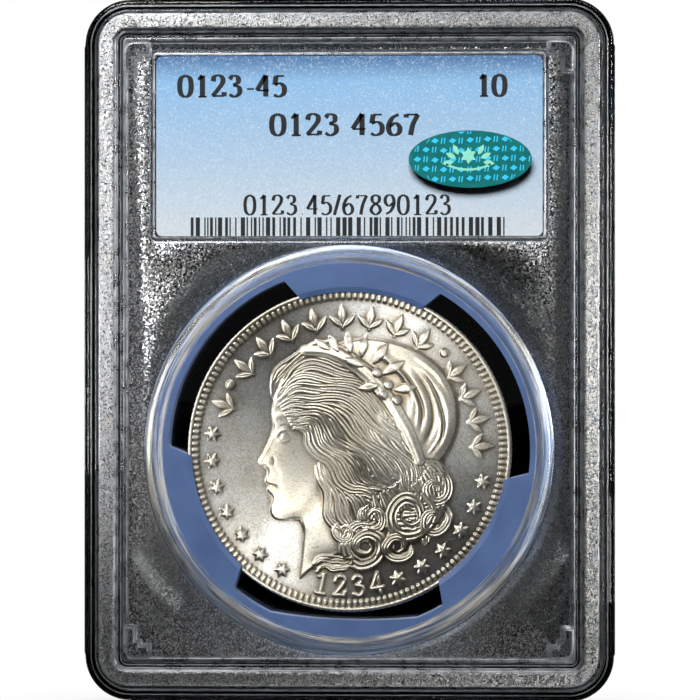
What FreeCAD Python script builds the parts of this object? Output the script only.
import FreeCAD, Part
import math
import os

# A sealed display slab for one graded coin. It stands on its bottom edge with its front towards -Y.
# Two clear shells meet at the plane y = 0 and are welded round their rim by a tongue in a groove. Between
# them an insert ring grips the coin with three pads, and a pocket above it holds the label card.
# All sizes are in millimetres. "inset" is the distance in from the slab's outer edge, and "depth" is the
# distance from the weld plane, towards -Y in the front shell and towards +Y in the rear shell.

# Whole slab
slab_width = 62.2
slab_height = 82.4
slab_thickness = 8.0
corner_radius = 5.4
strip_proud = 0.12          # the straight grip strips stand this far out of the edge
strip_end_gap = 0.3         # from a corner's curve to the end of a strip
strip_end_slope = 0.25

# Shell faces, as depths
rim_depth = slab_thickness / 2
band_depth = 3.0            # smooth band outside the raised rim
field_depth = 2.9           # stippled field inside the raised rim
inner_face_depth = 1.7      # inside face of the clear plate
window_recess = 0.08        # the polished windows lie this far under the stippled field
bead_inner_radius = 22.0    # a rounded bead frames the coin window
bead_outer_radius = 24.0
bead_rise = 0.24            # above the polished window
edge_round = 0.7
seam_bevel = 0.12

# Raised rim, as insets
rim_outer = 1.61
rim_chamfer = 0.35
rim_flat_end = 2.95
rim_slope_end = 3.7
rim_slope_drop = 0.14
rim_step_end = 3.95
ledge_depth = 3.4
groove_outer = 4.4
groove_inner = 4.65
groove_floor_depth = 3.15
ledge_end = 5.15
field_edge = 5.35
inner_corner_radius = 1.2   # plan radius at rim_step_end
least_corner_radius = 0.5

# Perimeter wall and weld
cavity_inset = 3.0
cavity_radius = 2.4
tongue_outer = 1.2
tongue_inner = 2.0
tongue_height = 0.7
tongue_clearance = 0.05

# Coin and its place
coin_radius = 19.05
coin_thickness = 2.4
coin_rim_width = 0.5
coin_bead_width = 1.0
coin_bead_depth = 0.08      # bead ring under the rim
coin_field_depth = 0.2      # field under the rim
coin_below_centre = 11.7
reed_count = 180
reed_depth = 0.06
star_count_left = 7
star_count_right = 6
star_ring_radius = 16.15
star_radius = 0.95
star_height = 0.12
star_pitch = 11.2           # degrees, as are the angles below, anticlockwise from +X as seen from the front
star_left_angle = 173.5
star_right_angle = -13.4
star_root = 0.05            # how far a star is sunk into the field it stands on

# Insert ring
insert_outer_radius = 23.1
insert_inner_radius = 21.2
insert_thickness = 3.36
insert_edge_chamfer = 0.5
insert_chamfer_width = 0.95
coin_clearance = 0.05
coin_face_clearance = 0.02
lip_overlap = 0.55          # the pads' lips reach this far over the coin's rim
lip_taper = 0.16
pad_sweep = 70.0            # degrees turned for a pad before its sides are cut
pad_angles = (85.4, 204.6, 326.8)
pad_half_angle = 25.65      # where a pad's side meets the ring
pad_side_slope = 1.06       # how fast a pad narrows towards the coin
pad_root = 0.5              # how far a pad runs into the ring
pad_corner = 0.35
gate_angle = 268.0          # the moulding gate leaves a shallow bow in the lower gap
gate_half_angle = 24.0
gate_reach = 19.95
gate_margin = 1.0           # extra stock inside the bow before it is cut

# Windows and pockets in the shells
well_inner_radius = 23.2
well_outer_radius = 24.3
window_radius = 24.4
label_width = 45.3
label_height = 21.1
label_bottom = 54.55
label_thickness = 0.35
pocket_clearance = 0.1
pocket_side_wall = 0.85
pocket_end_wall = 0.7
pocket_corner = 0.7
ledge_wall = 1.0
stack_gap = 0.02            # between parts that lie face to face
root_overlap = 0.1          # how far a wall's root is sunk into the plate it stands on

# Stacking lugs at the corners of the field
lug_outer_x = 4.71
lug_outer_z = 5.08
lug_length_x = 3.0
lug_length_z = 3.7
lug_leg_x = 1.34
lug_leg_z = 1.5
lug_depth = 3.9
lug_foot = 0.3              # width of the lower step round each lug
lug_foot_depth = 3.3
lug_edge_round = 0.2
rear_lug_shift = 1.7

# Label trim
sticker_width = 14.4
sticker_height = 6.7
sticker_thickness = 0.12
sticker_x = 14.2
sticker_z = 63.5
foil_width = 17.0
foil_height = 12.0
foil_thickness = 0.06

# Derived places
centre_z = slab_height / 2
coin_z = centre_z - coin_below_centre
coin_half = coin_thickness / 2
insert_half = insert_thickness / 2
window_depth = field_depth - window_recess
label_top = label_bottom + label_height
label_mid_z = label_bottom + label_height / 2
label_front_depth = inner_face_depth - stack_gap
label_back_depth = label_front_depth - label_thickness

FRONT = -1
REAR = 1
UP = FreeCAD.Vector(0, 0, 1)
ALONG_Y = FreeCAD.Vector(0, 1, 0)


def point(x, y, z):
    return FreeCAD.Vector(x, y, z)


def rounded_wire(x_low, x_high, z_low, z_high, radius, y):
    """A rectangle with rounded corners in the plane y."""
    r = radius
    slant = r * math.sqrt(0.5)
    corners = ((x_high - r, z_low + r, 1, -1), (x_high - r, z_high - r, 1, 1),
               (x_low + r, z_high - r, -1, 1), (x_low + r, z_low + r, -1, -1))
    edges = []
    last = point(x_low + r, y, z_low)
    for x, z, sx, sz in corners:
        turns_in_z = sx * sz < 0
        start = point(x, y, z + sz * r) if turns_in_z else point(x + sx * r, y, z)
        end = point(x + sx * r, y, z) if turns_in_z else point(x, y, z + sz * r)
        middle = point(x + sx * slant, y, z + sz * slant)
        edges.append(Part.makeLine(last, start))
        edges.append(Part.Arc(start, middle, end).toShape())
        last = end
    return Part.Wire(edges)


def slab_wire(inset, radius, y):
    half_x = slab_width / 2 - inset
    half_z = slab_height / 2 - inset
    return rounded_wire(-half_x, half_x, centre_z - half_z, centre_z + half_z, radius, y)


def slab_layer(side, inset, radius, depth_from, depth_to):
    """A rounded plate of the slab's outline between two depths of one shell."""
    face = Part.Face(slab_wire(inset, radius, side * depth_from))
    return face.extrude(point(0, side * (depth_to - depth_from), 0))


def slab_taper(side, inset_from, radius_from, depth_from, inset_to, radius_to, depth_to):
    """A plate whose outline changes evenly between two depths."""
    wires = [slab_wire(inset_from, radius_from, side * depth_from),
             slab_wire(inset_to, radius_to, side * depth_to)]
    return Part.makeLoft(wires, True, True)


def outer_corner(inset):
    return corner_radius - inset


def inner_corner(inset):
    return max(least_corner_radius, inner_corner_radius + rim_step_end - inset)


def block(x_low, x_high, y_low, y_high, z_low, z_high):
    size = (x_high - x_low, y_high - y_low, z_high - z_low)
    return Part.makeBox(*size, point(x_low, y_low, z_low))


def disc(radius, y_from, y_to):
    """A plate round the coin's axis."""
    return Part.makeCylinder(radius, y_to - y_from, point(0, y_from, coin_z), ALONG_Y)


def span(side, depth_from, depth_to):
    """Two depths of one shell as a low and a high y."""
    return tuple(sorted((side * depth_from, side * depth_to)))


def grip_strips(side):
    """Four straight strips, one along each edge between the rounded corners."""
    strips = []
    depth = band_depth - edge_round
    for half_run, half_span, upright in ((slab_height / 2, slab_width / 2, True),
                                         (slab_width / 2, slab_height / 2, False)):
        half = half_run - corner_radius - strip_end_gap
        root = half_span - strip_proud - 0.5
        outline = ((-half - strip_end_slope, root), (-half - strip_end_slope, half_span - strip_proud),
                   (-half, half_span), (half, half_span),
                   (half + strip_end_slope, half_span - strip_proud), (half + strip_end_slope, root))
        for sign in (-1, 1):
            points = []
            for run, out in outline:
                x, z = (sign * out, centre_z + run) if upright else (run, centre_z + sign * out)
                points.append(point(x, side * seam_bevel, z))
            face = Part.Face(Part.makePolygon(points + points[:1]))
            strips.append(face.extrude(point(0, side * (depth - seam_bevel), 0)))
    return strips


def shell_blank(side):
    """The outside of one shell: rounded body, grip strips and raised rim, with its face still flat."""
    body = slab_layer(side, strip_proud, outer_corner(strip_proud), seam_bevel, band_depth)
    body = body.makeFillet(edge_round, [e for e in body.Edges if is_at_depth(e, side * band_depth)])
    seam = slab_taper(side, strip_proud + seam_bevel, outer_corner(strip_proud + seam_bevel), 0,
                      strip_proud, outer_corner(strip_proud), seam_bevel)
    rim_wall = slab_layer(side, rim_outer, outer_corner(rim_outer), band_depth - 0.5,
                          rim_depth - rim_chamfer)
    chamfer_inset = rim_outer + rim_chamfer
    rim_top = slab_taper(side, rim_outer, outer_corner(rim_outer), rim_depth - rim_chamfer,
                         chamfer_inset, outer_corner(chamfer_inset), rim_depth)
    return body.multiFuse([seam, rim_wall, rim_top] + grip_strips(side)).removeSplitter()


def face_hollow(side):
    """The stepped hollow inside the raised rim, down to the stippled field."""
    above = rim_depth + 0.5
    slope_depth = rim_depth - rim_slope_drop
    return [
        slab_layer(side, rim_flat_end, inner_corner(rim_flat_end), rim_depth, above),
        slab_taper(side, rim_flat_end, inner_corner(rim_flat_end), rim_depth,
                   rim_slope_end, inner_corner(rim_slope_end), slope_depth),
        slab_taper(side, rim_slope_end, inner_corner(rim_slope_end), slope_depth,
                   rim_step_end, inner_corner(rim_step_end), ledge_depth),
        slab_taper(side, ledge_end, inner_corner(ledge_end), ledge_depth,
                   field_edge, inner_corner(field_edge), field_depth),
    ]


def ledge_groove(side):
    """A narrow groove that runs round the ledge inside the rim."""
    outer = slab_layer(side, groove_outer, inner_corner(groove_outer), groove_floor_depth, rim_depth)
    inner = slab_layer(side, groove_inner, inner_corner(groove_inner), groove_floor_depth, rim_depth)
    return outer.cut(inner)


def pocket_wire(margin_side, margin_end, radius, y):
    half = label_width / 2 + pocket_clearance + margin_side
    low = label_bottom - pocket_clearance - margin_end
    high = label_top + pocket_clearance + margin_end
    return rounded_wire(-half, half, low, high, radius, y)


def pocket_layer(side, margin_side, margin_end, radius, depth_from, depth_to):
    face = Part.Face(pocket_wire(margin_side, margin_end, radius, side * depth_from))
    return face.extrude(point(0, side * (depth_to - depth_from), 0))


def windows(side):
    """Shallow polished recesses over the coin and over the label."""
    above = field_depth + stack_gap
    field = slab_layer(side, field_edge, inner_corner(field_edge), window_depth, above)
    coin_window = disc(window_radius, *span(side, window_depth, above)).common(field)
    label_window = pocket_layer(side, pocket_side_wall, pocket_end_wall, pocket_corner * 2,
                                window_depth, above)
    return [coin_window, label_window]


def window_bead(side):
    """A low rounded bead round the coin window's edge."""
    base = side * window_depth
    crest = side * (window_depth + bead_rise)
    sunk = side * (window_depth - root_overlap)
    middle = (bead_inner_radius + bead_outer_radius) / 2
    corners = [point(bead_outer_radius, base, coin_z), point(bead_outer_radius, sunk, coin_z),
               point(bead_inner_radius, sunk, coin_z), point(bead_inner_radius, base, coin_z)]
    arc = Part.Arc(corners[-1], point(middle, crest, coin_z), corners[0]).toShape()
    face = Part.Face(Part.Wire([Part.makePolygon(corners), arc]))
    return face.revolve(point(0, 0, coin_z), ALONG_Y, 360)


def inner_walls(side):
    """The round wall of the coin's well and the wall round the label, up to the weld plane."""
    top = stack_gap
    root = inner_face_depth + root_overlap
    y_low, y_high = span(side, top, root)
    well_room = disc(well_inner_radius, y_low, y_high)
    label_room = pocket_layer(side, 0, 0, pocket_corner, top, root)
    well = disc(well_outer_radius, y_low, y_high).cut(well_room).cut(label_room)
    pocket = pocket_layer(side, pocket_side_wall, pocket_end_wall, pocket_corner * 2, top, root)
    return well.fuse(pocket.cut(label_room).cut(well_room))


def corner_lug(side, sign_x, sign_z, shift):
    """One stepped L that keys two stacked slabs together."""
    lug = None
    for foot, depth in ((lug_foot, lug_foot_depth), (0.0, lug_depth)):
        x_out = slab_width / 2 - lug_outer_x - shift
        z_out = slab_height / 2 - lug_outer_z - shift
        y_low, y_high = span(side, field_depth - 0.3, depth)
        arms = []
        for length_x, length_z in ((lug_length_x, lug_leg_z), (lug_leg_x, lug_length_z)):
            x_in = x_out - length_x - foot
            z_in = z_out - length_z - foot
            x_low, x_high = sorted((sign_x * x_in, sign_x * x_out))
            z_low, z_high = sorted((sign_z * z_in, sign_z * z_out))
            arm = block(x_low, x_high, y_low, y_high, centre_z + z_low, centre_z + z_high)
            arms.append(arm)
        step = arms[0].fuse(arms[1]).removeSplitter()
        rounded = [e for e in step.Edges if is_outer_corner(e, sign_x * x_out, centre_z + sign_z * z_out)]
        step = step.makeFillet(inner_corner_radius - 0.3, rounded)
        step = step.makeFillet(lug_edge_round, [e for e in step.Edges if is_at_depth(e, side * depth)])
        lug = step if lug is None else lug.fuse(step)
    return lug


def is_outer_corner(edge, x, z):
    return all(abs(v.Point.x - x) < 1e-6 and abs(v.Point.z - z) < 1e-6 for v in edge.Vertexes)


def is_at_depth(edge, y):
    return all(abs(v.Point.y - y) < 1e-6 for v in edge.Vertexes)


def corner_lugs(side, shift):
    return [corner_lug(side, sign_x, sign_z, shift) for sign_x in (-1, 1) for sign_z in (-1, 1)]


def weld_ring(side_of_groove, clearance, height):
    """The tongue of the weld, or with a clearance the groove that takes it."""
    outer_inset = tongue_outer - clearance
    inner_inset = tongue_inner + clearance
    outer = slab_layer(side_of_groove, outer_inset, outer_corner(outer_inset), 0, height)
    inner = slab_layer(side_of_groove, inner_inset, outer_corner(inner_inset), 0, height)
    return outer.cut(inner)


def shell(side, lug_shift):
    """One clear shell, without its half of the weld."""
    solid = shell_blank(side)
    for cutter in face_hollow(side):
        solid = solid.cut(cutter)
    solid = solid.cut(ledge_groove(side))
    solid = solid.multiFuse(corner_lugs(side, lug_shift))
    for cutter in windows(side):
        solid = solid.cut(cutter)
    solid = solid.fuse(window_bead(side))
    cavity = slab_layer(side, cavity_inset, cavity_radius, 0, inner_face_depth)
    solid = solid.cut(cavity)
    return solid.fuse(inner_walls(side)).removeSplitter()


def front_shell():
    groove = weld_ring(FRONT, tongue_clearance, tongue_height + tongue_clearance)
    return shell(FRONT, 0.0).cut(groove).removeSplitter()


def label_ledge():
    """A wall on the rear shell that holds the label card against the front plate."""
    back = -inner_face_depth - root_overlap
    front = label_back_depth - stack_gap
    outer = pocket_layer(FRONT, -stack_gap, -stack_gap, pocket_corner, back, front)
    inner = pocket_layer(FRONT, -ledge_wall, -ledge_wall, pocket_corner, back, front)
    return outer.cut(inner)


def rear_shell():
    tongue = weld_ring(FRONT, 0.0, tongue_height)
    return shell(REAR, rear_lug_shift).multiFuse([tongue, label_ledge()]).removeSplitter()


def turned(profile, start_degrees, sweep_degrees):
    """Turns a profile of (radius, y) points about the coin's axis, from an angle as seen from the front."""
    points = [point(radius, y, coin_z) for radius, y in profile]
    face = Part.Face(Part.makePolygon(points + points[:1]))
    solid = face.revolve(point(0, 0, coin_z), ALONG_Y, -sweep_degrees)
    solid.rotate(point(0, 0, coin_z), ALONG_Y, -start_degrees)
    return solid


def insert_ring():
    """The round outer ring, with a chamfer on both outer edges."""
    flat = insert_outer_radius - insert_chamfer_width
    edge = insert_half - insert_edge_chamfer
    profile = ((insert_inner_radius, -insert_half), (flat, -insert_half), (insert_outer_radius, -edge),
               (insert_outer_radius, edge), (flat, insert_half), (insert_inner_radius, insert_half))
    return turned(profile, 0, 360)


def pad_wedge(tip, outer):
    """The room between a pad's two sides, for a pad that reaches out along +X."""
    corner_x = insert_inner_radius * math.cos(math.radians(pad_half_angle))
    corner_z = insert_inner_radius * math.sin(math.radians(pad_half_angle))
    inner_x = tip * math.cos(math.radians(pad_half_angle)) - pad_corner
    inner_half = corner_z - pad_side_slope * (corner_x - inner_x)
    outer_half = corner_z + pad_side_slope * (outer - corner_x)
    low, high = -insert_thickness, insert_thickness
    corners = [point(0, low, coin_z - inner_half), point(inner_x, low, coin_z - inner_half),
               point(outer, low, coin_z - outer_half), point(outer, low, coin_z + outer_half),
               point(inner_x, low, coin_z + inner_half), point(0, low, coin_z + inner_half)]
    return Part.Face(Part.makePolygon(corners + corners[:1])).extrude(point(0, high - low, 0))


def grip_pad(angle):
    """A pad that reaches in from the ring and holds the coin's rim in a U-shaped groove."""
    tip = coin_radius - lip_overlap
    groove = coin_radius + coin_clearance
    groove_half = coin_half + coin_face_clearance
    outer = insert_inner_radius + pad_root
    profile = ((outer, -insert_half), (groove, -insert_half), (tip, -insert_half + lip_taper),
               (tip, -groove_half), (groove, -groove_half), (groove, groove_half), (tip, groove_half),
               (tip, insert_half - lip_taper), (groove, insert_half), (outer, insert_half))
    sector = turned(profile, angle - pad_sweep / 2, pad_sweep)
    wedge = pad_wedge(tip, outer)
    wedge.rotate(point(0, 0, coin_z), ALONG_Y, -angle)
    return sector.common(wedge)


def gate_web():
    """The shallow bow of plastic that the moulding gate leaves across the lower gap."""
    half_chord = insert_inner_radius * math.sin(math.radians(gate_half_angle))
    chord = insert_inner_radius * math.cos(math.radians(gate_half_angle))
    rise = gate_reach - chord
    bow_radius = (half_chord ** 2 + rise ** 2) / (2 * rise)
    sweep = 2 * gate_half_angle
    inner = gate_reach - gate_margin
    outer = insert_inner_radius + pad_root
    profile = ((inner, -insert_half), (outer, -insert_half), (outer, insert_half), (inner, insert_half))
    sector = turned(profile, gate_angle - gate_half_angle, sweep)
    start = point(gate_reach - bow_radius, -insert_thickness, coin_z)
    bow = Part.makeCylinder(bow_radius, 2 * insert_thickness, start, ALONG_Y)
    bow.rotate(point(0, 0, coin_z), ALONG_Y, -gate_angle)
    return sector.cut(bow)


def is_pad_corner(edge):
    """Tells whether an edge runs along Y where a pad's side meets the ring's inner wall."""
    ends = [v.Point for v in edge.Vertexes]
    if len(ends) < 2 or math.hypot(ends[0].x - ends[1].x, ends[0].z - ends[1].z) > 1e-6:
        return False
    return abs(math.hypot(ends[0].x, ends[0].z - coin_z) - insert_inner_radius) < 1e-4


def coin_insert():
    pads = [grip_pad(angle) for angle in pad_angles]
    solid = insert_ring().multiFuse(pads).removeSplitter()
    solid = solid.makeFillet(pad_corner, [e for e in solid.Edges if is_pad_corner(e)])
    return solid.fuse(gate_web()).removeSplitter()


def star_angles():
    left = [star_left_angle + star_pitch * i for i in range(star_count_left)]
    right = [star_right_angle - star_pitch * i for i in range(star_count_right)]
    return left + right


def star(angle):
    """A six-pointed star on the coin's front field."""
    points = []
    for i in range(12):
        radius = star_radius if i % 2 == 0 else star_radius / math.sqrt(3)
        turn = math.radians(angle + 30 * i)
        x = star_ring_radius * math.cos(math.radians(angle)) + radius * math.cos(turn)
        z = star_ring_radius * math.sin(math.radians(angle)) + radius * math.sin(turn)
        points.append(point(x, -coin_half + coin_field_depth + star_root, coin_z + z))
    face = Part.Face(Part.makePolygon(points + points[:1]))
    return face.extrude(point(0, -star_height - star_root, 0))


def reeded_disc():
    """The coin's blank with V-shaped reeds round its edge."""
    points = []
    for i in range(reed_count * 2):
        radius = coin_radius - (reed_depth if i % 2 else 0.0)
        turn = math.pi * i / reed_count
        points.append(point(radius * math.cos(turn), -coin_half, coin_z + radius * math.sin(turn)))
    return Part.Face(Part.makePolygon(points + points[:1])).extrude(point(0, coin_thickness, 0))


def coin():
    """A struck coin: raised rim, bead ring and sunk field on both faces, stars on the front."""
    bead_outer = coin_radius - coin_rim_width
    field_radius = bead_outer - coin_bead_width
    solid = reeded_disc()
    for side in (FRONT, REAR):
        y_low, y_high = span(side, coin_half - coin_bead_depth, coin_half + 0.5)
        solid = solid.cut(disc(bead_outer, y_low, y_high))
        y_low, y_high = span(side, coin_half - coin_field_depth, coin_half + 0.5)
        solid = solid.cut(disc(field_radius, y_low, y_high))
    return solid.multiFuse([star(angle) for angle in star_angles()])


def label_card():
    half = label_width / 2
    wire = rounded_wire(-half, half, label_bottom, label_top, pocket_corner, -label_front_depth)
    return Part.Face(wire).extrude(point(0, label_thickness, 0))


def oval_sticker():
    """An oval seal stuck on the polished window over the label."""
    ellipse = Part.Ellipse(point(sticker_x, -window_depth, sticker_z), sticker_width / 2, sticker_height / 2)
    edge = ellipse.toShape()
    edge.rotate(point(sticker_x, -window_depth, sticker_z), point(1, 0, 0), 90)
    return Part.Face(Part.Wire([edge])).extrude(point(0, -sticker_thickness, 0))


def security_foil():
    """A foil patch on the back of the label card."""
    half = foil_width / 2
    wire = rounded_wire(-half, half, label_mid_z - foil_height / 2, label_mid_z + foil_height / 2,
                        pocket_corner, -label_back_depth)
    return Part.Face(wire).extrude(point(0, foil_thickness, 0))


NODES = {
    "front_shell": front_shell,
    "rear_shell": rear_shell,
    "coin_insert": coin_insert,
    "coin": coin,
    "label_card": label_card,
    "oval_sticker": oval_sticker,
    "security_foil": security_foil,
}


def main():
    os.makedirs("parts", exist_ok=True)
    for name, build in NODES.items():
        shape = build()
        shape.exportStep(f"parts/{name}.step")
        box = shape.BoundBox
        print(f"{name}: {len(shape.Solids)} solid, valid {shape.isValid()}, {shape.Volume:.1f} mm3, "
              f"x {box.XMin:.2f} {box.XMax:.2f}, y {box.YMin:.2f} {box.YMax:.2f}, "
              f"z {box.ZMin:.2f} {box.ZMax:.2f}")


main()
